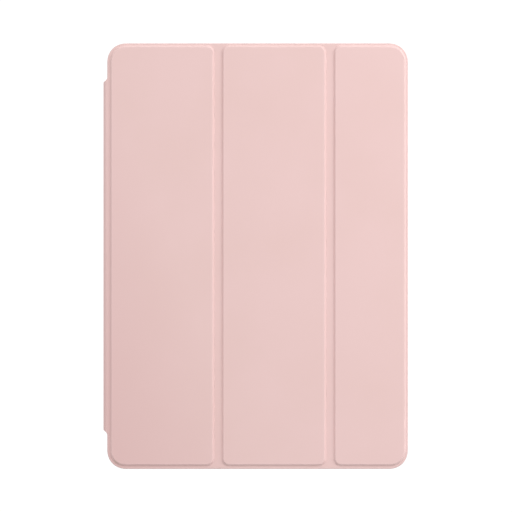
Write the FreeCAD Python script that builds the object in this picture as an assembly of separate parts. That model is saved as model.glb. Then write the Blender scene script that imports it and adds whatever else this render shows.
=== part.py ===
import FreeCAD, Part
import math
import os

# A magnetic folding front cover for a 9.7-inch tablet, closed over the screen.
# Millimetres, +Z up. X runs across the cover from its spine to its free edge, Y along the spine.
# The shapes are drawn with X = 0 on the cover's left edge and Z = 0 on the lining's underside, where
# the screen is. They are then moved so that the origin lies under the middle of the whole cover,
# level with the lower edge of the spine bar.

Vector = FreeCAD.Vector

# The cover sheet
COVER_WIDTH = 169.5
COVER_LENGTH = 240.0
LINING_THICKNESS = 0.4
SKIN_THICKNESS = 0.6
BOARD_THICKNESS = 1.2
SHEET_THICKNESS = LINING_THICKNESS + SKIN_THICKNESS
BOARD_TOP = LINING_THICKNESS + BOARD_THICKNESS
COVER_THICKNESS = BOARD_TOP + SKIN_THICKNESS
CORNER_REACH = 10.9        # length of each edge that the outer corner's curve takes
CORNER_HANDLE = 0.663      # handle of that curve over its reach: fuller than a circle
ROUND_HANDLE = 0.5523      # the same for a true quarter circle
TURNED_EDGE = 1.2          # the skin is turned under this far, and the lining starts there

# The raised platforms over the boards, and the gutters between them
RIM = 1.55                 # from the cover's edge to the middle of a platform's slope
SLOPE = 1.1                # width of that slope
GUTTER_WIDTH = 5.05
GUTTER_CORNER = 4.0
NARROW_PLATFORM = 40.2
WIDE_PLATFORM = (COVER_WIDTH - 2 * RIM - 2 * GUTTER_WIDTH - NARROW_PLATFORM) / 2
FIRST_GUTTER = RIM + WIDE_PLATFORM + GUTTER_WIDTH / 2
GUTTERS = [FIRST_GUTTER, FIRST_GUTTER + WIDE_PLATFORM + GUTTER_WIDTH]
LAST_PANEL = 2

# Living hinges: the sheet is parted round each bending line
FOLD_PIVOT = 1.9           # from a gutter's middle to each of its two bending lines
PIVOT_GAP = 0.6            # from a bending line to the rigid sheet on each side
PANEL_SHEET_END = FOLD_PIVOT + PIVOT_GAP
FOLD_SHEET_END = FOLD_PIVOT - PIVOT_GAP

# The boards and what is let into them
BOARD_INSET = 0.7          # from the middle of a slope to the board's edge
POCKET_PLAY = 0.1
INLAY_FLOOR = 0.05
EDGE_MAGNET = Vector(5.0, 10.0, 0.8)
EDGE_SHUNT_THICKNESS = 0.25
EDGE_MAGNET_X = COVER_WIDTH - 7.0
MAGNET_PITCH = 12.0
EDGE_MAGNETS_PER_ROW = 5
ROW_CENTRES = [-60.0, 60.0]
SLEEP_MAGNET_RADIUS = 3.5
SLEEP_MAGNET_CENTRE = Vector(COVER_WIDTH - 8.0, 14.0, 0.0)
CATCH_PLATE = Vector(6.0, 62.0, 0.6)
CATCH_PLATE_X = 7.5

# The spine: a bar on the tablet's side and the web that joins it to the cover
BAR_THICKNESS = 1.4
BAR_TOP = -0.9
BAR_BOTTOM = -6.9
BAR_WALL = 0.3
BAR_CORNER = 1.5
STRIP_HALF = 98.1
FLARE_RADIUS = 1.1
WEB_OUTER = -2.2
WEB_INNER = -1.5
WEB_LINING = 0.3
UPPER_PIVOT_X = (WEB_OUTER + WEB_INNER) / 2
UPPER_PIVOT_Z = SHEET_THICKNESS / 2
LOWER_PIVOT_X = WEB_OUTER - 0.15       # the web turns outwards here, clear of the strip below it
LOWER_PIVOT_Z = -4.35
LOWER_PIVOT_GAP = 0.5
TAB_END = UPPER_PIVOT_X + PIVOT_GAP
SPINE_MAGNET = Vector(0.5, 10.0, 3.6)
SPINE_SHUNT_THICKNESS = 0.15
SPINE_MAGNETS_PER_ROW = 4
SPINE_ROW_CENTRES = [-70.0, 70.0]

ORIGIN = Vector((COVER_WIDTH + WEB_OUTER) / 2, 0, BAR_BOTTOM)


def corner_curve(corner, before, after, reach, handle):
    """Bezier edge that rounds one corner, and the points where it leaves the two straight edges."""
    to_before = (before - corner).normalize()
    to_after = (after - corner).normalize()
    start = corner + to_before * reach
    end = corner + to_after * reach
    curve = Part.BezierCurve()
    curve.setPoles([start, start - to_before * reach * handle, end - to_after * reach * handle, end])
    return curve.toShape(), start, end


def plate_outline(x_low, x_high, half_length, low_corner, high_corner):
    """Closed outline of a plate. Each corner is a pair: its reach, 0 for square, and its handle."""
    corners = [
        (Vector(x_low, -half_length, 0), low_corner),
        (Vector(x_high, -half_length, 0), high_corner),
        (Vector(x_high, half_length, 0), high_corner),
        (Vector(x_low, half_length, 0), low_corner),
    ]
    curves = []
    ends = []
    for index, (corner, (reach, handle)) in enumerate(corners):
        if reach == 0:
            ends.append((corner, corner))
            continue
        before = corners[index - 1][0]
        after = corners[(index + 1) % len(corners)][0]
        curve, start, end = corner_curve(corner, before, after, reach, handle)
        curves.append(curve)
        ends.append((start, end))
    for index, (start, end) in enumerate(ends):
        curves.append(Part.makeLine(ends[index - 1][1], start))
    return Part.Wire(Part.__sortEdges__(curves))


def panel_outline(index, rim, gutter_gap, gutter_corner=0.0):
    """Outline on one panel, `rim` inside the cover's own edges and `gutter_gap` from a gutter's middle."""
    outer_corner = (CORNER_REACH - rim, CORNER_HANDLE)
    inner_corner = (gutter_corner, ROUND_HANDLE)
    x_low, low_corner = rim, outer_corner
    x_high, high_corner = COVER_WIDTH - rim, outer_corner
    if index > 0:
        x_low, low_corner = GUTTERS[index - 1] + gutter_gap, inner_corner
    if index < LAST_PANEL:
        x_high, high_corner = GUTTERS[index] - gutter_gap, inner_corner
    return plate_outline(x_low, x_high, COVER_LENGTH / 2 - rim, low_corner, high_corner)


def prism(outline, z_low, z_high):
    """Solid that stands on an outline, from one height to another."""
    face = Part.Face(outline)
    face.translate(Vector(0, 0, z_low))
    return face.extrude(Vector(0, 0, z_high - z_low))


def block(low, high):
    """Box between two opposite corners."""
    size = high - low
    return Part.makeBox(size.x, size.y, size.z, low)


def rounded_bar(x_low, x_high, half_length, z_low, z_high, radius):
    """Flat bar along Y, standing on edge, with its four end corners rounded."""
    bar = block(Vector(x_low, -half_length, z_low), Vector(x_high, half_length, z_high))
    across = [edge for edge in bar.Edges if abs(edge.tangentAt(0).x) > 0.99]
    return bar.makeFillet(radius, across)


def joined(shapes):
    """Several touching or overlapping solids as one."""
    return shapes[0].fuse(shapes[1:]).removeSplitter()


def hinge_tab(half_length, flare):
    """Outline of the part of the sheet that runs out past the cover's left edge to the spine."""
    root = half_length + 2 * flare
    neck = half_length + flare
    inside = TURNED_EDGE
    if flare == 0:
        return plate_outline(TAB_END, inside, half_length, (0, 0), (0, 0))
    reach = flare * math.sqrt(0.5)
    upper = Part.Arc(Vector(0, root, 0), Vector(reach - flare, root - reach, 0), Vector(-flare, neck, 0))
    lower = Part.Arc(Vector(-flare, -neck, 0), Vector(reach - flare, reach - root, 0), Vector(0, -root, 0))
    route = [
        Vector(-flare, neck, 0),
        Vector(TAB_END, neck, 0),
        Vector(TAB_END, -neck, 0),
        Vector(-flare, -neck, 0),
    ]
    back = [Vector(0, -root, 0), Vector(inside, -root, 0), Vector(inside, root, 0), Vector(0, root, 0)]
    edges = [upper.toShape(), lower.toShape()]
    for points in (route, back):
        edges += [Part.makeLine(start, end) for start, end in zip(points, points[1:])]
    return Part.Wire(Part.__sortEdges__(edges))


def panel_lining(index):
    """Microfibre on the screen side of one panel."""
    lining = prism(panel_outline(index, TURNED_EDGE, PANEL_SHEET_END), 0, LINING_THICKNESS)
    if index > 0:
        return lining
    tab = prism(hinge_tab(STRIP_HALF, 0), 0, LINING_THICKNESS)
    return joined([lining, tab])


def panel_board_blank(index):
    """Stiff board of one panel before its pockets are cut."""
    gap = GUTTER_WIDTH / 2 + BOARD_INSET
    outline = panel_outline(index, RIM + BOARD_INSET, gap, GUTTER_CORNER - BOARD_INSET)
    return prism(outline, LINING_THICKNESS, BOARD_TOP)


def panel_skin(index):
    """Outer skin of one panel: flat rim, turned edge, and the platform that it forms over the board."""
    sheet = prism(panel_outline(index, 0, PANEL_SHEET_END), 0, SHEET_THICKNESS)
    if index == 0:
        sheet = joined([sheet, prism(hinge_tab(STRIP_HALF, FLARE_RADIUS), 0, SHEET_THICKNESS)])
    half_slope = SLOPE / 2
    foot = panel_outline(index, RIM - half_slope, PANEL_SHEET_END, GUTTER_CORNER + half_slope)
    foot.translate(Vector(0, 0, SHEET_THICKNESS))
    top_gap = GUTTER_WIDTH / 2 + half_slope
    top = panel_outline(index, RIM + half_slope, top_gap, GUTTER_CORNER - half_slope)
    top.translate(Vector(0, 0, COVER_THICKNESS))
    platform = Part.makeLoft([foot, top], True, True)
    return joined([sheet, platform]).cut(panel_board_blank(index)).cut(panel_lining(index))


def edge_magnet_centres():
    """Middles of the two rows of magnets along the free edge."""
    half_row = (EDGE_MAGNETS_PER_ROW - 1) / 2
    for row in ROW_CENTRES:
        for count in range(EDGE_MAGNETS_PER_ROW):
            yield Vector(EDGE_MAGNET_X, row + (count - half_row) * MAGNET_PITCH, 0)


def inlay(size, centre, bottom, play=0.0):
    """Flat block let into a board, or with some play the pocket that it lies in."""
    half = Vector(size.x / 2 + play, size.y / 2 + play, 0)
    floor = Vector(centre.x, centre.y, bottom)
    return block(floor - half, floor + half + Vector(0, 0, size.z))


def pocket(size, centre):
    """Hole right through a board for an inlay."""
    through = Vector(size.x, size.y, BOARD_THICKNESS)
    return inlay(through, centre, LINING_THICKNESS, POCKET_PLAY)


def edge_magnets():
    """Magnets that hold the cover shut, and hold the folded stand together."""
    bottom = LINING_THICKNESS + INLAY_FLOOR
    return Part.makeCompound([inlay(EDGE_MAGNET, centre, bottom) for centre in edge_magnet_centres()])


def edge_shunts():
    """Steel plates over those magnets, which keep their pull on the screen side."""
    plate = Vector(EDGE_MAGNET.x, EDGE_MAGNET.y, EDGE_SHUNT_THICKNESS)
    bottom = BOARD_TOP - INLAY_FLOOR - EDGE_SHUNT_THICKNESS
    return Part.makeCompound([inlay(plate, centre, bottom) for centre in edge_magnet_centres()])


def sleep_magnet():
    """Round magnet that the tablet senses, so that it sleeps and wakes with the cover."""
    bottom = SLEEP_MAGNET_CENTRE + Vector(0, 0, LINING_THICKNESS + INLAY_FLOOR)
    return Part.makeCylinder(SLEEP_MAGNET_RADIUS, EDGE_MAGNET.z, bottom)


def sleep_magnet_pocket():
    """Round hole through the board for the sleep magnet."""
    bottom = SLEEP_MAGNET_CENTRE + Vector(0, 0, LINING_THICKNESS)
    return Part.makeCylinder(SLEEP_MAGNET_RADIUS + POCKET_PLAY, BOARD_THICKNESS, bottom)


def catch_plate_centres():
    """Middles of the two steel plates beside the spine."""
    return [Vector(CATCH_PLATE_X, row, 0) for row in ROW_CENTRES]


def catch_plates():
    """Steel plates in the first board that the free edge's magnets hold when the cover is a stand."""
    bottom = BOARD_TOP - INLAY_FLOOR - CATCH_PLATE.z
    return Part.makeCompound([inlay(CATCH_PLATE, centre, bottom) for centre in catch_plate_centres()])


def panel_board(index):
    """Stiff board of one panel, with pockets for its magnets or plates."""
    board = panel_board_blank(index)
    if index == 0:
        return board.cut([pocket(CATCH_PLATE, centre) for centre in catch_plate_centres()])
    if index == LAST_PANEL:
        holes = [pocket(EDGE_MAGNET, centre) for centre in edge_magnet_centres()]
        return board.cut(holes + [sleep_magnet_pocket()])
    return board


def fold_strip(gutter, half_length, z_low, z_high):
    """Strip of the sheet between a gutter's two bending lines."""
    low = Vector(gutter - FOLD_SHEET_END, -half_length, z_low)
    high = Vector(gutter + FOLD_SHEET_END, half_length, z_high)
    return block(low, high)


def fold_lining(gutter):
    """Microfibre under a gutter."""
    return fold_strip(gutter, COVER_LENGTH / 2 - TURNED_EDGE, 0, LINING_THICKNESS)


def fold_skin(gutter):
    """Outer skin in a gutter, with its turned ends."""
    return fold_strip(gutter, COVER_LENGTH / 2, 0, SHEET_THICKNESS).cut(fold_lining(gutter))


def spine_web(x_low, x_high):
    """Upright strip between the bar and the cover, from one bending line to the other."""
    low = Vector(x_low, -STRIP_HALF, LOWER_PIVOT_Z + LOWER_PIVOT_GAP)
    high = Vector(x_high, STRIP_HALF, UPPER_PIVOT_Z - PIVOT_GAP)
    return block(low, high)


def bar_core_blank():
    """Core of the spine bar before its pockets are cut."""
    half_length = STRIP_HALF - BAR_WALL
    corner = BAR_CORNER - BAR_WALL
    return rounded_bar(BAR_WALL - BAR_THICKNESS, -BAR_WALL, half_length,
                       BAR_BOTTOM + BAR_WALL, BAR_TOP - BAR_WALL, corner)


def spine_lining():
    """Microfibre on the face of the bar that lies on the tablet's side."""
    half_length = STRIP_HALF - BAR_WALL
    corner = BAR_CORNER - BAR_WALL
    return rounded_bar(-BAR_WALL, 0, half_length, BAR_BOTTOM + BAR_WALL, BAR_TOP - BAR_WALL, corner)


def spine_skin():
    """Outer skin of the bar, turned over its four edges, and the foot of the web bonded to its outside."""
    wrap = rounded_bar(-BAR_THICKNESS, 0, STRIP_HALF, BAR_BOTTOM, BAR_TOP, BAR_CORNER)
    wrap = wrap.cut(bar_core_blank()).cut(spine_lining())
    foot = rounded_bar(WEB_OUTER, -BAR_THICKNESS, STRIP_HALF, BAR_BOTTOM, BAR_TOP, BAR_CORNER)
    foot_top = LOWER_PIVOT_Z - LOWER_PIVOT_GAP
    free = block(Vector(WEB_OUTER, -STRIP_HALF, foot_top), Vector(-BAR_THICKNESS, STRIP_HALF, BAR_TOP))
    return joined([wrap, foot.cut(free)])


def spine_inlay(x_low, thickness, centre_y, length, play=0.0):
    """Flat block let into the bar's core at one place along it."""
    middle = (BAR_BOTTOM + BAR_TOP) / 2
    half_height = SPINE_MAGNET.z / 2 + play
    low = Vector(x_low, centre_y - length / 2 - play, middle - half_height)
    high = Vector(x_low + thickness, centre_y + length / 2 + play, middle + half_height)
    return block(low, high)


def spine_magnets():
    """Magnets that hold the bar on the tablet's side."""
    x_low = -BAR_WALL - INLAY_FLOOR - SPINE_MAGNET.x
    half_row = (SPINE_MAGNETS_PER_ROW - 1) / 2
    magnets = []
    for row in SPINE_ROW_CENTRES:
        for count in range(SPINE_MAGNETS_PER_ROW):
            centre_y = row + (count - half_row) * MAGNET_PITCH
            magnets.append(spine_inlay(x_low, SPINE_MAGNET.x, centre_y, SPINE_MAGNET.y))
    return Part.makeCompound(magnets)


def spine_row_length():
    """Length of one row of the bar's magnets."""
    return (SPINE_MAGNETS_PER_ROW - 1) * MAGNET_PITCH + SPINE_MAGNET.y


def spine_shunts():
    """Steel strips behind the bar's magnets, one to a row."""
    x_low = BAR_WALL - BAR_THICKNESS + INLAY_FLOOR
    length = spine_row_length()
    strips = [spine_inlay(x_low, SPINE_SHUNT_THICKNESS, row, length) for row in SPINE_ROW_CENTRES]
    return Part.makeCompound(strips)


def spine_core():
    """Stiff core of the bar, with a pocket for each row of magnets."""
    x_low = BAR_WALL - BAR_THICKNESS
    depth = BAR_THICKNESS - 2 * BAR_WALL
    length = spine_row_length()
    pockets = [spine_inlay(x_low, depth, row, length, POCKET_PLAY) for row in SPINE_ROW_CENTRES]
    return bar_core_blank().cut(pockets)


def export(name, shape):
    """Write one piece in the part's own frame."""
    placed = shape.copy()
    placed.translate(-ORIGIN)
    placed.exportStep("parts/" + name + ".step")
    volumes = sum(solid.Volume for solid in placed.Solids)
    print(name, len(placed.Solids), "solids", round(volumes, 2), "mm3", placed.isValid())


def main():
    os.makedirs("parts", exist_ok=True)
    export("spine_skin", spine_skin())
    export("spine_core", spine_core())
    export("spine_magnets", spine_magnets())
    export("spine_shunts", spine_shunts())
    export("spine_lining", spine_lining())
    export("spine_web_skin", spine_web(WEB_OUTER, WEB_INNER - WEB_LINING))
    export("spine_web_lining", spine_web(WEB_INNER - WEB_LINING, WEB_INNER))
    for index in range(LAST_PANEL + 1):
        panel = "panel_" + str(index + 1)
        export(panel + "_skin", panel_skin(index))
        export(panel + "_board", panel_board(index))
        export(panel + "_lining", panel_lining(index))
    for index, gutter in enumerate(GUTTERS):
        fold = "fold_" + str(index + 1)
        export(fold + "_skin", fold_skin(gutter))
        export(fold + "_lining", fold_lining(gutter))
    export("panel_1_catch_plates", catch_plates())
    export("panel_3_edge_magnets", edge_magnets())
    export("panel_3_edge_shunts", edge_shunts())
    export("sleep_magnet", sleep_magnet())
    for name, x, z in (
        ("lower spine bending line", LOWER_PIVOT_X, LOWER_PIVOT_Z),
        ("upper spine bending line", UPPER_PIVOT_X, UPPER_PIVOT_Z),
        ("first fold, near", GUTTERS[0] - FOLD_PIVOT, UPPER_PIVOT_Z),
        ("first fold, far", GUTTERS[0] + FOLD_PIVOT, UPPER_PIVOT_Z),
        ("second fold, near", GUTTERS[1] - FOLD_PIVOT, UPPER_PIVOT_Z),
        ("second fold, far", GUTTERS[1] + FOLD_PIVOT, UPPER_PIVOT_Z),
    ):
        print(name, "x", round(x - ORIGIN.x, 3), "z", round(z - ORIGIN.z, 3))


main()
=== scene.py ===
from math import cos, pi, radians, sin

import bmesh
import bpy
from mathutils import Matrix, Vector


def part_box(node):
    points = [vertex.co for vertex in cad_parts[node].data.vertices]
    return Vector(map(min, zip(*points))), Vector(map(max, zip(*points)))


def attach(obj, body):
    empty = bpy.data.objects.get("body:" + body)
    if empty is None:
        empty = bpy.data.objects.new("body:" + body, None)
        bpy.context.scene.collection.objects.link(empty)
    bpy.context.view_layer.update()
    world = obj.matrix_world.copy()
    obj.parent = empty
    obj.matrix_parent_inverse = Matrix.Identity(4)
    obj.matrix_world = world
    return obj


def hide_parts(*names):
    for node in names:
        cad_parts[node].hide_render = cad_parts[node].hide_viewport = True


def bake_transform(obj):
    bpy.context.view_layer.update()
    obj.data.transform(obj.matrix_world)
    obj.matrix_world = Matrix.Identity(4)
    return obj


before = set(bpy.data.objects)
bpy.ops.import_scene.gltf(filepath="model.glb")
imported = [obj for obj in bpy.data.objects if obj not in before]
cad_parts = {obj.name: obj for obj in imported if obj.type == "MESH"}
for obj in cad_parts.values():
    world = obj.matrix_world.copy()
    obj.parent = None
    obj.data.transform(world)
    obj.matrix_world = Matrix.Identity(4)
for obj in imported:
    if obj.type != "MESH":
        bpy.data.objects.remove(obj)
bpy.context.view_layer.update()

mm = 0.001

# ---------------------------------------------------------------------------------------------
# Boards: three plain glass-fibre sheets, one to a panel, cut to shape and hidden between the skin
# and the lining. They keep the panels flat and leave the gutters between them soft.


def colour(code):
    """An sRGB hex code as a linear colour."""
    parts = [int(code[place:place + 2], 16) / 255 for place in (0, 2, 4)]
    return [part / 12.92 if part <= 0.04045 else ((part + 0.055) / 1.055) ** 2.4 for part in parts] + [1]


def add_node(material, kind, links=(), **settings):
    """A node with its settings, and its links as (its input, the node it comes from, that node's output)."""
    node = material.node_tree.nodes.new(kind)
    for name, value in settings.items():
        if name.startswith("in_"):
            node.inputs[name[3:].replace("_", " ")].default_value = value
        else:
            setattr(node, name, value)
    for into, source, output in links:
        material.node_tree.links.new(source.outputs[output], node.inputs[into])
    return node


def new_material(name):
    """An empty node material, its surface shader and its object coordinates."""
    material = bpy.data.materials.new(name)
    material.use_nodes = True
    shader = material.node_tree.nodes["Principled BSDF"]
    return material, shader, add_node(material, "ShaderNodeTexCoord")


def link(material, source, output, node, into):
    """Join one node's output to another's input."""
    material.node_tree.links.new(source.outputs[output], node.inputs[into])


def finish_with(node_name, material):
    """Give a fixed part its finish."""
    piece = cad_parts[node_name]
    piece.data.materials.clear()
    piece.data.materials.append(material)


# Glass-fibre epoxy sheet, pressed and sawn: dull yellow-green, with the cloth's weave showing through
# the resin. Strands of 0.6 mm.
glass_board, shader, place = new_material("pressed_glass_fibre_sheet")
weave = add_node(glass_board, "ShaderNodeTexBrick", [("Vector", place, "Object")], offset=0.5,
                 in_Color1=colour("C9C79C"), in_Color2=colour("BDBB8E"), in_Mortar=colour("A9A77B"),
                 in_Scale=1 / (1.2 * mm), in_Mortar_Size=0.06, in_Brick_Width=1.0, in_Row_Height=0.5)
cloud = add_node(glass_board, "ShaderNodeTexNoise", [("Vector", place, "Object")], in_Scale=1 / (18 * mm))
tone = add_node(glass_board, "ShaderNodeMix", [(6, weave, "Color"), (0, cloud, "Fac")], data_type="RGBA")
tone.inputs[7].default_value = colour("B3B489")
weave_bump = add_node(glass_board, "ShaderNodeBump", [("Height", weave, "Fac")], in_Strength=0.2,
                      in_Distance=0.03 * mm)
link(glass_board, tone, 2, shader, "Base Color")
link(glass_board, weave_bump, "Normal", shader, "Normal")
shader.inputs["Roughness"].default_value = 0.42
for board in ("panel_1_board", "panel_2_board", "panel_3_board"):
    finish_with(board, glass_board)

# ---------------------------------------------------------------------------------------------
# Steel: two catch plates let into the first panel's board, where the folded cover's magnets land,
# and the strips behind each row of magnets. Stamped from cold-rolled sheet and left bare.

# Cold-rolled steel: grey, with fine roll marks 0.25 mm apart along its length.
rolled_steel, shader, place = new_material("cold_rolled_steel")
along = add_node(rolled_steel, "ShaderNodeMapping", [("Vector", place, "Object")], in_Scale=(1, 0.04, 1))
marks = add_node(rolled_steel, "ShaderNodeTexNoise", [("Vector", along, "Vector")], in_Scale=1 / (0.25 * mm),
                 in_Detail=3)
tint = add_node(rolled_steel, "ShaderNodeValToRGB", [("Fac", marks, "Fac")])
tint.color_ramp.elements[0].position, tint.color_ramp.elements[0].color = 0.3, colour("8E9092")
tint.color_ramp.elements[1].position, tint.color_ramp.elements[1].color = 0.7, colour("A7A9AB")
shine = add_node(rolled_steel, "ShaderNodeMapRange", [("Value", marks, "Fac")], in_To_Min=0.3, in_To_Max=0.48)
mark_bump = add_node(rolled_steel, "ShaderNodeBump", [("Height", marks, "Fac")], in_Strength=0.15,
                     in_Distance=0.01 * mm)
link(rolled_steel, tint, "Color", shader, "Base Color")
link(rolled_steel, shine, "Result", shader, "Roughness")
link(rolled_steel, mark_bump, "Normal", shader, "Normal")
shader.inputs["Metallic"].default_value = 1.0
for steel in ("panel_1_catch_plates", "panel_3_edge_shunts", "spine_shunts"):
    finish_with(steel, rolled_steel)

# ---------------------------------------------------------------------------------------------
# Magnets: flat neodymium blocks in rows down the spine bar and the free edge, and one round magnet
# that tells the tablet to sleep. Sintered, ground and nickel-plated, bonded into their pockets.

# Bright nickel over a ground block: warm grey mirror, a little clouded, in cells of about 0.5 mm.
nickel, shader, place = new_material("bright_nickel_plate")
cells = add_node(nickel, "ShaderNodeTexNoise", [("Vector", place, "Object")], in_Scale=1 / (0.5 * mm), in_Detail=4)
tint = add_node(nickel, "ShaderNodeValToRGB", [("Fac", cells, "Fac")])
tint.color_ramp.elements[0].position, tint.color_ramp.elements[0].color = 0.35, colour("B9B5AC")
tint.color_ramp.elements[1].position, tint.color_ramp.elements[1].color = 0.65, colour("C9C5BC")
shine = add_node(nickel, "ShaderNodeMapRange", [("Value", cells, "Fac")], in_To_Min=0.16, in_To_Max=0.28)
link(nickel, tint, "Color", shader, "Base Color")
link(nickel, shine, "Result", shader, "Roughness")
shader.inputs["Metallic"].default_value = 1.0
for magnet in ("spine_magnets", "panel_3_edge_magnets", "sleep_magnet"):
    finish_with(magnet, nickel)

# ---------------------------------------------------------------------------------------------
# Core of the spine bar: a thin moulded nylon bar with a pocket for each row of magnets. It lies
# inside the wrapped bar.

# Natural nylon as it leaves the mould: milky, half dull, with a faint spark-eroded grain of 0.4 mm.
nylon, shader, place = new_material("moulded_natural_nylon")
grain = add_node(nylon, "ShaderNodeTexNoise", [("Vector", place, "Object")], in_Scale=1 / (0.4 * mm), in_Detail=3)
tint = add_node(nylon, "ShaderNodeValToRGB", [("Fac", grain, "Fac")])
tint.color_ramp.elements[0].color = colour("E4E1D6")
tint.color_ramp.elements[1].color = colour("ECE9E0")
grain_bump = add_node(nylon, "ShaderNodeBump", [("Height", grain, "Fac")], in_Strength=0.3, in_Distance=0.02 * mm)
link(nylon, tint, "Color", shader, "Base Color")
link(nylon, grain_bump, "Normal", shader, "Normal")
shader.inputs["Roughness"].default_value = 0.5
shader.inputs["Subsurface Weight"].default_value = 0.1
shader.inputs["Subsurface Radius"].default_value = (0.6 * mm, 0.5 * mm, 0.4 * mm)
finish_with("spine_core", nylon)

# ---------------------------------------------------------------------------------------------
# Wrap of the spine bar: the bar is covered in the skin's own material, turned over its four edges,
# so it shows as a 0.3 mm shell that leaves the side towards the tablet open for the facing.
wall = 0.3 * mm
bar_corner, bar_edge = 1.5 * mm, 0.2 * mm
bar_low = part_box("spine_core")[0] - Vector((wall, wall, wall))
bar_high = Vector((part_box("spine_skin")[1].x, -bar_low.y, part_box("spine_skin")[1].z))
bar_depth = bar_high.x - bar_low.x


def pick(kind, test):
    """Select only the vertices, edges or faces of the mesh in edit mode that pass the test."""
    bpy.ops.mesh.select_mode(type=kind)
    bpy.ops.mesh.select_all(action="DESELECT")
    shape = bmesh.from_edit_mesh(bpy.context.object.data)
    for item in {"VERT": shape.verts, "EDGE": shape.edges, "FACE": shape.faces}[kind]:
        item.select_set(test(item))
    shape.select_flush_mode()
    bmesh.update_edit_mesh(bpy.context.object.data)


def near(one, other):
    """True where two lengths are the same to a hundredth of a millimetre."""
    return abs(one - other) < 0.01 * mm


def middle(edge):
    """Middle of an edge."""
    return (edge.verts[0].co + edge.verts[1].co) / 2


def round_edges(test, radius, segments):
    """Round those edges that pass the test."""
    pick("EDGE", test)
    bpy.ops.mesh.bevel(offset=radius, segments=segments, profile=0.5, affect="EDGES", clamp_overlap=False)


def start_bar(name, low, high, corner, edge):
    """A flat bar with rounded ends and slightly rounded edges, left in edit mode."""
    bpy.ops.object.select_all(action="DESELECT")
    bpy.ops.mesh.primitive_cube_add(size=1)
    bar = bpy.context.object
    bar.name = name
    bpy.ops.object.mode_set(mode="EDIT")
    bpy.ops.transform.resize(value=high - low)
    bpy.ops.transform.translate(value=(low + high) / 2)
    round_edges(lambda side: near(side.verts[0].co.y, side.verts[1].co.y)
                and near(side.verts[0].co.z, side.verts[1].co.z), corner, 8)
    round_edges(lambda side: near(side.verts[0].co.x, side.verts[1].co.x), edge, 3)
    return bar


def smooth(piece, limit=40):
    """Leave edit mode, and shade the curved faces smooth and the flat ones flat."""
    if bpy.context.mode == "EDIT_MESH":
        bpy.ops.object.mode_set(mode="OBJECT")
    bpy.ops.object.select_all(action="DESELECT")
    piece.select_set(True)
    bpy.context.view_layer.objects.active = piece
    bpy.ops.object.shade_smooth_by_angle(angle=radians(limit))
    weighting = piece.modifiers.new("flat faces lead", "WEIGHTED_NORMAL")
    weighting.keep_sharp = True
    bpy.ops.object.modifier_apply(modifier=weighting.name)


bar_wrap = start_bar("spine_bar_wrap", bar_low, bar_high, bar_corner, bar_edge)
pick("FACE", lambda face: face.normal.x > 0.99 and near(face.calc_center_median().x, bar_high.x))
bpy.ops.mesh.inset(thickness=wall - bar_edge, depth=0)
bpy.ops.mesh.extrude_region_move(TRANSFORM_OT_translate={"value": (wall - bar_depth, 0, 0)})
smooth(bar_wrap)

# Polyurethane skin on a knitted base, cast on release paper: smooth and matt, with a grain too fine
# to feel. It gives an even powder pink, slightly clouded, with painted shade that deepens it towards the
# lower left, by the lower end of the spine. The real grain is about 0.1 mm across; it is drawn 0.45 mm wide,
# or it wouldn't show. The platform slopes get a painted highlight that makes them paler, and they are a little
# glossier; the turned nose and the underside of the edge get painted shade.
skin_pink, shader, place = new_material("matt_polyurethane_skin")
grain = add_node(skin_pink, "ShaderNodeTexNoise", [("Vector", place, "Object")], in_Scale=1 / (0.45 * mm),
                 in_Detail=3, in_Roughness=0.6)
pores = add_node(skin_pink, "ShaderNodeTexVoronoi", [("Vector", place, "Object")], in_Scale=1 / (0.9 * mm))
cloud = add_node(skin_pink, "ShaderNodeTexNoise", [("Vector", place, "Object")], in_Scale=1 / (40 * mm),
                 in_Detail=3)
tint = add_node(skin_pink, "ShaderNodeValToRGB", [("Fac", cloud, "Fac")])
tint.color_ramp.elements[0].position, tint.color_ramp.elements[0].color = 0.35, colour("E9C8C4")
tint.color_ramp.elements[1].position, tint.color_ramp.elements[1].color = 0.65, colour("EBCAC7")
painted_highlight_and_gloss = add_node(skin_pink, "ShaderNodeAttribute", attribute_name="painted_highlight_and_gloss", attribute_type="GEOMETRY")
painted_edge_shade = add_node(skin_pink, "ShaderNodeAttribute", attribute_name="painted_edge_shade", attribute_type="GEOMETRY")
# Painted shade: the pink deepens towards the lower left, where the light from the upper right is weaker.
reach = add_node(skin_pink, "ShaderNodeVectorMath", [(0, place, "Object")], operation="DOT_PRODUCT")
reach.inputs[1].default_value = (-1, -0.35, 0)
depth = add_node(skin_pink, "ShaderNodeMapRange", [("Value", reach, "Value")], in_From_Min=45 * mm,
                 in_From_Max=115 * mm)
painted_shade_tint = add_node(skin_pink, "ShaderNodeMix", [(0, depth, "Result"), (6, tint, "Color")], data_type="RGBA")
painted_shade_tint.inputs[7].default_value = colour("E4C0BD")
# Painted highlight: the platform slopes are made paler.
painted_slope_highlight = add_node(skin_pink, "ShaderNodeMix", [(0, painted_highlight_and_gloss, "Fac"), (6, painted_shade_tint, 2)], data_type="RGBA",
                 blend_type="ADD")
painted_slope_highlight.inputs[7].default_value = colour("383838")
# Painted shade: the turned nose and the underside of the edge are darkened.
darker = add_node(skin_pink, "ShaderNodeMix", [(0, painted_edge_shade, "Fac"), (6, painted_slope_highlight, 2)], data_type="RGBA")
darker.inputs[7].default_value = colour("D3AFAA")
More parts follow.
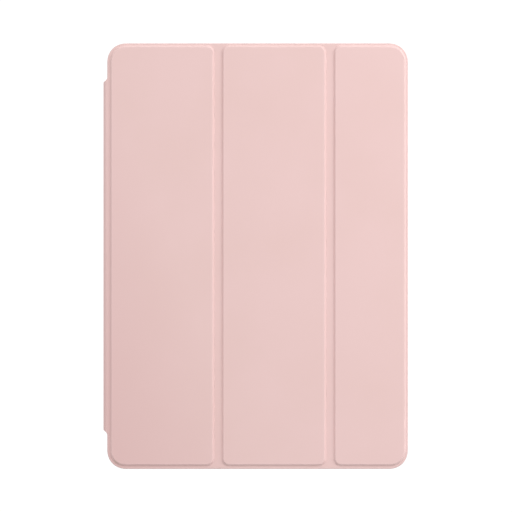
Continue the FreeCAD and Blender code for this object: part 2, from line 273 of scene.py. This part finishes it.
# The same slopes are made a little glossier.
slope_gloss = add_node(skin_pink, "ShaderNodeMath", [(0, painted_highlight_and_gloss, "Fac")], operation="MULTIPLY")
slope_gloss.inputs[1].default_value = 0.12
speck = add_node(skin_pink, "ShaderNodeMapRange", [("Value", grain, "Fac")], in_From_Min=0.3, in_From_Max=0.7,
                 in_To_Min=0.993, in_To_Max=1.007)
fleck = add_node(skin_pink, "ShaderNodeVectorMath", [(0, darker, 2), (1, speck, "Result")], operation="MULTIPLY")
matt = add_node(skin_pink, "ShaderNodeMapRange", [("Value", grain, "Fac")], in_To_Min=0.52, in_To_Max=0.68)
polish = add_node(skin_pink, "ShaderNodeMath", [(0, matt, "Result"), (1, slope_gloss, "Value")], operation="SUBTRACT")
relief = add_node(skin_pink, "ShaderNodeMath", [(0, grain, "Fac"), (2, pores, "Distance")],
                  operation="MULTIPLY_ADD")
relief.inputs[1].default_value = 0.6
grain_bump = add_node(skin_pink, "ShaderNodeBump", [("Height", relief, "Value")], in_Strength=0.1,
                      in_Distance=0.05 * mm)
link(skin_pink, fleck, "Vector", shader, "Base Color")
link(skin_pink, polish, "Value", shader, "Roughness")
link(skin_pink, grain_bump, "Normal", shader, "Normal")
shader.inputs["IOR"].default_value = 1.5
shader.inputs["Specular IOR Level"].default_value = 0.35
bar_wrap.data.materials.append(skin_pink)
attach(bar_wrap, "spine")
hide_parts("spine_skin")

# ---------------------------------------------------------------------------------------------
# Facing of the spine bar: the lining's microfibre, cut to a strip and bonded over the core, on the
# side that lies against the tablet.
gap = 0.02 * mm                                      # between the facing and the wrap, all round
facing_corner, facing_edge = 1.15 * mm, 0.06 * mm
facing_low = Vector((bar_high.x - wall + gap / 2, bar_low.y + wall + gap, bar_low.z + wall + gap))
facing_high = Vector((bar_high.x, -facing_low.y, bar_high.z - wall - gap))
bar_facing = start_bar("spine_bar_facing", facing_low, facing_high, facing_corner, facing_edge)
smooth(bar_facing)

# Microfibre suede, woven, then brushed and sheared: an even, dusty pink nap with faint strokes about 20 mm
# across where it lies the other way, and fibres that catch the light at a low angle. The fibres are
# 0.01 mm thick; the nap is drawn 0.25 mm wide, or it wouldn't show.
suede, shader, place = new_material("brushed_microfibre_suede")
lay = add_node(suede, "ShaderNodeMapping", [("Vector", place, "Object")], in_Scale=(1, 0.35, 1))
nap = add_node(suede, "ShaderNodeTexNoise", [("Vector", lay, "Vector")], in_Scale=1 / (0.25 * mm), in_Detail=4,
               in_Roughness=0.7)
stroke = add_node(suede, "ShaderNodeTexNoise", [("Vector", lay, "Vector")], in_Scale=1 / (20 * mm), in_Detail=2,
                  in_Distortion=0.4)
shade = add_node(suede, "ShaderNodeMath", [(0, stroke, "Fac"), (2, nap, "Fac")], operation="MULTIPLY_ADD")
shade.inputs[1].default_value = 0.35
tint = add_node(suede, "ShaderNodeValToRGB", [("Fac", shade, "Value")])
tint.color_ramp.elements[0].position, tint.color_ramp.elements[0].color = 0.4, colour("CCA5A2")
tint.color_ramp.elements[1].position, tint.color_ramp.elements[1].color = 0.95, colour("DAB7B3")
nap_bump = add_node(suede, "ShaderNodeBump", [("Height", nap, "Fac")], in_Strength=0.3, in_Distance=0.08 * mm)
link(suede, tint, "Color", shader, "Base Color")
link(suede, nap_bump, "Normal", shader, "Normal")
shader.inputs["Roughness"].default_value = 0.95
shader.inputs["Specular IOR Level"].default_value = 0.15
shader.inputs["Sheen Weight"].default_value = 0.5
shader.inputs["Sheen Roughness"].default_value = 0.5
shader.inputs["Sheen Tint"].default_value = colour("F4DAD6")
bar_facing.data.materials.append(suede)
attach(bar_facing, "spine")
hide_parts("spine_lining")

# ---------------------------------------------------------------------------------------------
# Lining: one sheet of the same microfibre, 0.4 mm thick, bonded under the boards and down the inside
# of the spine strip. The turned edge of the skin frames it, and it is pressed up a little in the gutters.
screen_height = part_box("panel_2_lining")[0].z
strip_overhang = 2.2 * mm                            # the strip stands out past the cover's left edge
cover_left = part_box("spine_skin")[0].x + strip_overhang
cover_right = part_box("panel_3_skin")[1].x
cover_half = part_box("panel_2_skin")[1].y
gutters = [sum(corner.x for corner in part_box(fold)) / 2 for fold in ("fold_1_skin", "fold_2_skin")]
sheet_top = screen_height + 1.0 * mm
lining_thickness, turned_edge = 0.4 * mm, 1.2 * mm
corner_reach, corner_profile = 10.9 * mm, 0.525      # a corner a little fuller than a circle
tab_half, tab_flat = 99.7 * mm, 0.2 * mm
tab_corner, tab_root = 1.5 * mm, 1.0 * mm            # its free corners, and where it meets the cover
draw_in, draw_in_start = 1.4 * mm, 90 * mm           # the strip's ends draw in to the bar as it turns down
bend_radius = 2.0 * mm
bend_height = sheet_top - bend_radius
bend_length = bend_radius * pi / 2
strip_drop = bend_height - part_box("spine_skin")[0].z
tab_length = tab_flat + bend_length + strip_drop
strip_squeeze = 0.3                                  # the strip is pressed to 0.7 mm
fold_reach, fold_core = 2.5 * mm, 0.7 * mm           # a gutter bends between these, each side of its middle
lower_bend = screen_height - 4.35 * mm


def add_plate(x_low, x_high, y_low, y_high, height):
    """A flat rectangle added to the mesh in edit mode."""
    centre = Vector(((x_low + x_high) / 2, (y_low + y_high) / 2, height))
    bpy.ops.mesh.select_all(action="DESELECT")
    bpy.ops.mesh.primitive_plane_add(size=1, location=centre)
    bpy.ops.transform.resize(value=(x_high - x_low, y_high - y_low, 1), center_override=centre)


def round_corners(test, reach, profile=0.5, segments=16):
    """Round those corners of a flat outline that pass the test."""
    pick("VERT", test)
    bpy.ops.mesh.bevel(offset=reach, offset_type="OFFSET", segments=segments, profile=profile,
                       affect="VERTICES", clamp_overlap=False)


def cut_sheet(name, inset, height):
    """The cover's outline with the tab for its spine, as one flat face that lies a little inside the edge."""
    left, right, half = cover_left + inset, cover_right - inset, cover_half - inset
    bpy.ops.object.select_all(action="DESELECT")
    bpy.ops.mesh.primitive_plane_add(size=1)
    sheet = bpy.context.object
    sheet.name = name
    bpy.ops.object.mode_set(mode="EDIT")
    bpy.ops.mesh.delete(type="VERT")
    add_plate(left, right, -half, half, height)
    round_corners(lambda point: True, corner_reach - inset, corner_profile)
    pick("EDGE", lambda edge: near(middle(edge).x, left))
    bpy.ops.mesh.subdivide(number_cuts=2)
    for side in (-1, 1):
        pick("VERT", lambda point: near(point.co.x, left) and 0 < side * point.co.y < half / 2)
        now = [point.co.y for point in bmesh.from_edit_mesh(sheet.data).verts if point.select][0]
        bpy.ops.transform.translate(value=(0, side * (tab_half - inset) - now, 0))
    pick("EDGE", lambda edge: near(middle(edge).x, left) and near(middle(edge).y, 0))
    bpy.ops.mesh.extrude_edges_move(TRANSFORM_OT_translate={"value": (-tab_length, 0, 0)})
    pick("EDGE", lambda edge: near(middle(edge).x, left) and near(middle(edge).y, 0))
    bpy.ops.mesh.dissolve_edges(use_verts=False)
    at_tab = lambda point: near(abs(point.co.y), tab_half - inset)
    round_corners(lambda point: at_tab(point) and near(point.co.x, left), tab_root + inset, segments=8)
    round_corners(lambda point: at_tab(point) and near(point.co.x, left - tab_length),
                  tab_corner - inset, segments=6)
    return sheet


def cut_across(places):
    """Cut the whole sheet along lines at these places, so that it can bend there."""
    for place_x in places:
        bpy.ops.mesh.select_all(action="SELECT")
        bpy.ops.mesh.bisect(plane_co=(place_x, 0, 0), plane_no=(1, 0, 0))


def bending_lines():
    """Where the sheet must bend: over each gutter, round the cover's left edge, and low on the strip."""
    lines = [gutter + step * fold_reach / 10 for gutter in gutters for step in range(-10, 11)]
    lines += [cover_left - tab_flat - bend_length * step / 12 for step in range(13)]
    hinge = cover_left - tab_flat - bend_length - (bend_height - lower_bend)
    return lines + [hinge + step * 0.1 * mm for step in range(-12, 13)]


def roll_over(piece):
    """Roll the tab over the cover's left edge and straight down. No operator rolls, presses and draws in
    at once, so the points are moved here one by one."""
    shape = bmesh.from_edit_mesh(piece.data)
    start = cover_left - tab_flat
    for point in shape.verts:
        past = start - point.co.x
        if past <= 0:
            continue
        turn = min(past / bend_radius, pi / 2)
        depth = (sheet_top - point.co.z) * (1 - strip_squeeze * turn / (pi / 2))
        if abs(point.co.y) > draw_in_start:
            point.co.y -= (1 if point.co.y > 0 else -1) * draw_in * sin(turn)
        point.co.x = start - (bend_radius - depth) * sin(turn)
        point.co.z = bend_height + (bend_radius - depth) * cos(turn) - max(past - bend_length, 0)
    bmesh.update_edit_mesh(piece.data)


def part_at(piece, name, cuts):
    """A copy of the piece, cut off square at planes given as (point, direction that is thrown away)."""
    copy = piece.copy()
    copy.data = piece.data.copy()
    copy.name = name
    bpy.context.collection.objects.link(copy)
    bpy.ops.object.select_all(action="DESELECT")
    copy.select_set(True)
    bpy.context.view_layer.objects.active = copy
    bpy.ops.object.mode_set(mode="EDIT")
    for point, away in cuts:
        bpy.ops.mesh.select_all(action="SELECT")
        bpy.ops.mesh.bisect(plane_co=point, plane_no=away, use_fill=True, clear_outer=True)
    bpy.ops.mesh.select_all(action="SELECT")
    bpy.ops.mesh.normals_make_consistent(inside=False)
    bpy.ops.object.mode_set(mode="OBJECT")
    return copy


web_middle = Vector((0, 0, screen_height - 2.0 * mm))
panel_middles = [(cover_left + gutters[0]) / 2, (gutters[0] + gutters[1]) / 2]
up, down, right, left = Vector((0, 0, 1)), Vector((0, 0, -1)), Vector((1, 0, 0)), Vector((-1, 0, 0))
upper_bend_start = (cover_left - 1.85 * mm, 0, screen_height - 0.1 * mm)
upper_bend_end = (cover_left - 1.25 * mm, 0, screen_height + 0.5 * mm)
lower_bend_start, lower_bend_end = [(cover_left, 0, lower_bend + side * mm) for side in (-1.0, 1.0)]
shoulder_width = panel_middles[0] - cover_left + tab_flat + bend_length + bend_height - web_middle.z
first_middle, second_middle = [Vector((place_x, 0, 0)) for place_x in panel_middles]
first_gutter, second_gutter = [Vector((place_x, 0, 0)) for place_x in gutters]
# Each stretch: its name, the bodies on each side of its bend, the fixed part that it takes the place of, its
# flat width (none for the strip), the cuts that free it, and where its bend starts and ends.
stretches = [
    ("spine_strip", "spine", "spine_web", "spine_web", 0,
     [(web_middle, up)], lower_bend_start, lower_bend_end),
    ("shoulder", "spine_web", "panel_1", "panel_1", shoulder_width,
     [(web_middle, down), (first_middle, right)], upper_bend_start, upper_bend_end),
    ("first_panel", "panel_1", "fold_web_1", "fold_1", gutters[0] - panel_middles[0],
     [(first_middle, left), (first_gutter, right)],
     (gutters[0] - fold_reach, 0, 0), (gutters[0] - fold_core, 0, 0)),
    ("middle_panel_first_half", "fold_web_1", "panel_2", "panel_2", panel_middles[1] - gutters[0],
     [(first_gutter, left), (second_middle, right)],
     (gutters[0] + fold_core, 0, 0), (gutters[0] + fold_reach, 0, 0)),
    ("middle_panel_second_half", "panel_2", "fold_web_2", "fold_2", gutters[1] - panel_middles[1],
     [(second_middle, left), (second_gutter, right)],
     (gutters[1] - fold_reach, 0, 0), (gutters[1] - fold_core, 0, 0)),
    ("free_panel", "fold_web_2", "panel_3", "panel_3", cover_right - gutters[1],
     [(second_gutter, left)],
     (gutters[1] + fold_core, 0, 0), (gutters[1] + fold_reach, 0, 0)),
]


def fit_stretches(sheet, layer, material):
    """Part the finished sheet where it can't be seen, give each stretch its finish, and hide the fixed part it
    takes the place of.
    """
    for name, first, second, node, width, cuts, start, end in stretches:
        part = part_at(sheet, name + "_" + layer, cuts)
        smooth(part)
        part.data.materials.append(material)
        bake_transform(part)
        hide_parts(node + "_" + layer)
    bpy.data.objects.remove(sheet)


lining = cut_sheet("lining", turned_edge + 0.03 * mm, screen_height + lining_thickness)
bpy.ops.mesh.select_all(action="SELECT")
bpy.ops.mesh.extrude_region_move(TRANSFORM_OT_translate={"value": (0, 0, -lining_thickness)})
bpy.ops.mesh.select_all(action="SELECT")
bpy.ops.mesh.normals_make_consistent(inside=False)
cut_across(bending_lines())
gutter_press = 0.1 * mm
shape = bmesh.from_edit_mesh(lining.data)
for point in shape.verts:
    off = min(abs(point.co.x - gutter) for gutter in gutters) / fold_reach
    if off < 1:
        point.co.z += gutter_press * (1 - off * off * (3 - 2 * off))
bmesh.update_edit_mesh(lining.data)
roll_over(lining)
bpy.ops.object.mode_set(mode="OBJECT")
fit_stretches(lining, "lining", suede)

# ---------------------------------------------------------------------------------------------
# Skin: one sheet of fabric-backed polyurethane over the boards. It is pressed down round each board,
# so the panels stand up as three platforms with soft edges, and it is turned under at the rim and
# carried over the left edge as the strip that holds the bar.
skin_thickness = 0.48 * mm
nose = 0.5 * mm                                      # the folded edge is fully round
slope, rise = 1.2 * mm, 1.2 * mm                     # a platform's slope: its width and height
rim, lower_rim = 1.55 * mm, 2.25 * mm                # from the cover's ends to the middle of the slope
left_rim, right_rim = 2.0 * mm, 1.45 * mm
before_gutter, after_gutter = -2.3 * mm, 2.95 * mm   # from a gutter's middle to the middle of each slope
gutter_corner, crest_band = 4.3 * mm, 1.2 * mm


def roll_edge(direction):
    """Carry the selected face over a rounded edge, up onto the top or down under it."""
    for step in range(4):
        low, high = radians(22.5 * step), radians(22.5 * step + 22.5)
        bpy.ops.mesh.inset(thickness=nose * (cos(low) - cos(high)), depth=direction * nose * (sin(high) - sin(low)))


skin = cut_sheet("skin", 0, sheet_top - nose)
pick("FACE", lambda face: True)
roll_edge(1)
bpy.ops.mesh.delete(type="ONLY_FACE")
edges = [gutter + side for gutter in gutters for side in (before_gutter, after_gutter)]
edges = [cover_left + left_rim] + edges + [cover_right - right_rim]
for index in range(3):
    low, high = edges[2 * index] - slope / 2, edges[2 * index + 1] + slope / 2
    top, bottom = cover_half - rim + slope / 2, lower_rim - slope / 2 - cover_half
    add_plate(low, high, bottom, top, sheet_top)
    for place_x, outer in ((low, index == 0), (high, index == 2)):
        for end in (top, bottom):
            reach = corner_reach - (cover_half - abs(end)) if outer else gutter_corner
            round_corners(lambda point: near(point.co.x, place_x) and near(point.co.y, end), reach,
                          corner_profile if outer else 0.5, 16 if outer else 8)
    pick("FACE", lambda face: near(face.calc_center_bounds().x, (low + high) / 2))
    for step in range(10):
        before, after = [part * part * (3 - 2 * part) for part in (step / 10, (step + 1) / 10)]
        bpy.ops.mesh.inset(thickness=slope / 10, depth=rise * (after - before))
    bpy.ops.mesh.inset(thickness=crest_band, depth=0)
pick("EDGE", lambda edge: edge.is_boundary and near(middle(edge).z, sheet_top))
bpy.ops.mesh.fill()
pick("EDGE", lambda edge: edge.is_boundary)
bpy.ops.mesh.edge_face_add()
bpy.ops.mesh.select_all(action="SELECT")
bpy.ops.mesh.normals_make_consistent(inside=False)
# The one face with so many corners is the underside, where the outline is still open below.
pick("FACE", lambda face: near(face.calc_center_median().z, screen_height + nose) and len(face.verts) > 90)
roll_edge(1)
bpy.ops.mesh.inset(thickness=turned_edge - nose, depth=0)
bpy.ops.mesh.delete(type="FACE")
cut_across(bending_lines())
crest = sheet_top + rise
shape = bmesh.from_edit_mesh(skin.data)
# Per vertex: a painted highlight on the platform slopes, full on the slope and 0.3 at the crest's edge, which also
# makes them a little glossier.
painted_highlight_and_gloss_layer = shape.verts.layers.float.new("painted_highlight_and_gloss")
painted_edge_shade_layer = shape.verts.layers.float.new("painted_edge_shade")
# Painted shade on the turned nose and the underside, growing towards the bottom of the edge.
for point in shape.verts:
    slopes = sheet_top + 0.1 * mm < point.co.z
    inner = near(point.co.z, crest) and all(near(edge.other_vert(point).co.z, crest) for edge in point.link_edges)
    point[painted_highlight_and_gloss_layer] = (0.3 if near(point.co.z, crest) else 1) if slopes and not inner else 0
    point[painted_edge_shade_layer] = 1.6 * max(0, 1 - (point.co.z - screen_height) / (sheet_top - screen_height))
bmesh.update_edit_mesh(skin.data)
bpy.ops.object.mode_set(mode="OBJECT")
level = skin.vertex_groups.new(name="level")
for point in skin.data.vertices:
    past = cover_left - tab_flat - point.co.x
    level.add([point.index], 1 - max(0, min(past / bend_length, 1)), "REPLACE")
bpy.ops.object.mode_set(mode="EDIT")
roll_over(skin)
bpy.ops.object.mode_set(mode="OBJECT")
backing = skin.modifiers.new("thickness", "SOLIDIFY")
backing.thickness, backing.offset = skin_thickness, -1
backing.vertex_group, backing.thickness_vertex_group = "level", 1 - strip_squeeze
bpy.ops.object.modifier_apply(modifier=backing.name)
fit_stretches(skin, "skin", skin_pink)

# ---------------------------------------------------------------------------------------------
# Floor, light and camera: a white table, a soft light from the upper right, and a long lens that
# looks straight down.
bpy.ops.object.select_all(action="DESELECT")
bpy.ops.mesh.primitive_plane_add(size=6)
floor = bpy.context.object
floor.name = "floor"
bpy.ops.transform.translate(value=(0, 0, -150 * mm))    # clear of everything that swings down
white, shader, place = new_material("white_card")
shader.inputs["Base Color"].default_value = colour("606060")
shader.inputs["Roughness"].default_value = 1.0
shader.inputs["Specular IOR Level"].default_value = 0.0
shader.inputs["Emission Color"].default_value = (1, 1, 1, 1)
shader.inputs["Emission Strength"].default_value = 0.96
floor.data.materials.append(white)

world = bpy.data.worlds.new("soft_room")
bpy.context.scene.world = world
world.use_nodes = True
world.node_tree.nodes["Background"].inputs["Color"].default_value = (1, 1, 1, 1)
world.node_tree.nodes["Background"].inputs["Strength"].default_value = 0.545

# Each lamp: its name, the way to it from the cover, how far off and how wide it is in metres, and its watts.
aim = Vector((0, 0, sheet_top))
for name, direction, distance, size, power in (("high_softbox", (0.2, 0.72, 0.66), 2.5, 1.0, 23.0),
                                               ("side_softbox", (0.8, 0.2, 0.55), 0.75, 0.4, 1.85),
                                               ("fill_softbox", (-0.8, -0.1, 0.6), 1.5, 0.8, 1.78)):
    lamp = bpy.data.lights.new(name, "AREA")
    lamp.shape, lamp.size, lamp.energy = "SQUARE", size, power
    softbox = bpy.data.objects.new(name, lamp)
    softbox.location = aim + distance * Vector(direction).normalized()
    softbox.rotation_euler = (aim - softbox.location).to_track_quat("-Z", "Y").to_euler()
    bpy.context.collection.objects.link(softbox)

lens = bpy.data.cameras.new("camera")
lens.lens, lens.sensor_width, lens.clip_end = 300, 36, 20
camera = bpy.data.objects.new("camera", lens)
view_width = 288.7 * mm
camera_x, camera_y = cover_left + 83.87 * mm, 0.08 * mm
camera.location = (camera_x, camera_y, sheet_top + view_width * lens.lens / lens.sensor_width)
bpy.context.collection.objects.link(camera)
bpy.context.scene.camera = camera
bpy.context.scene.view_settings.view_transform = "Standard"
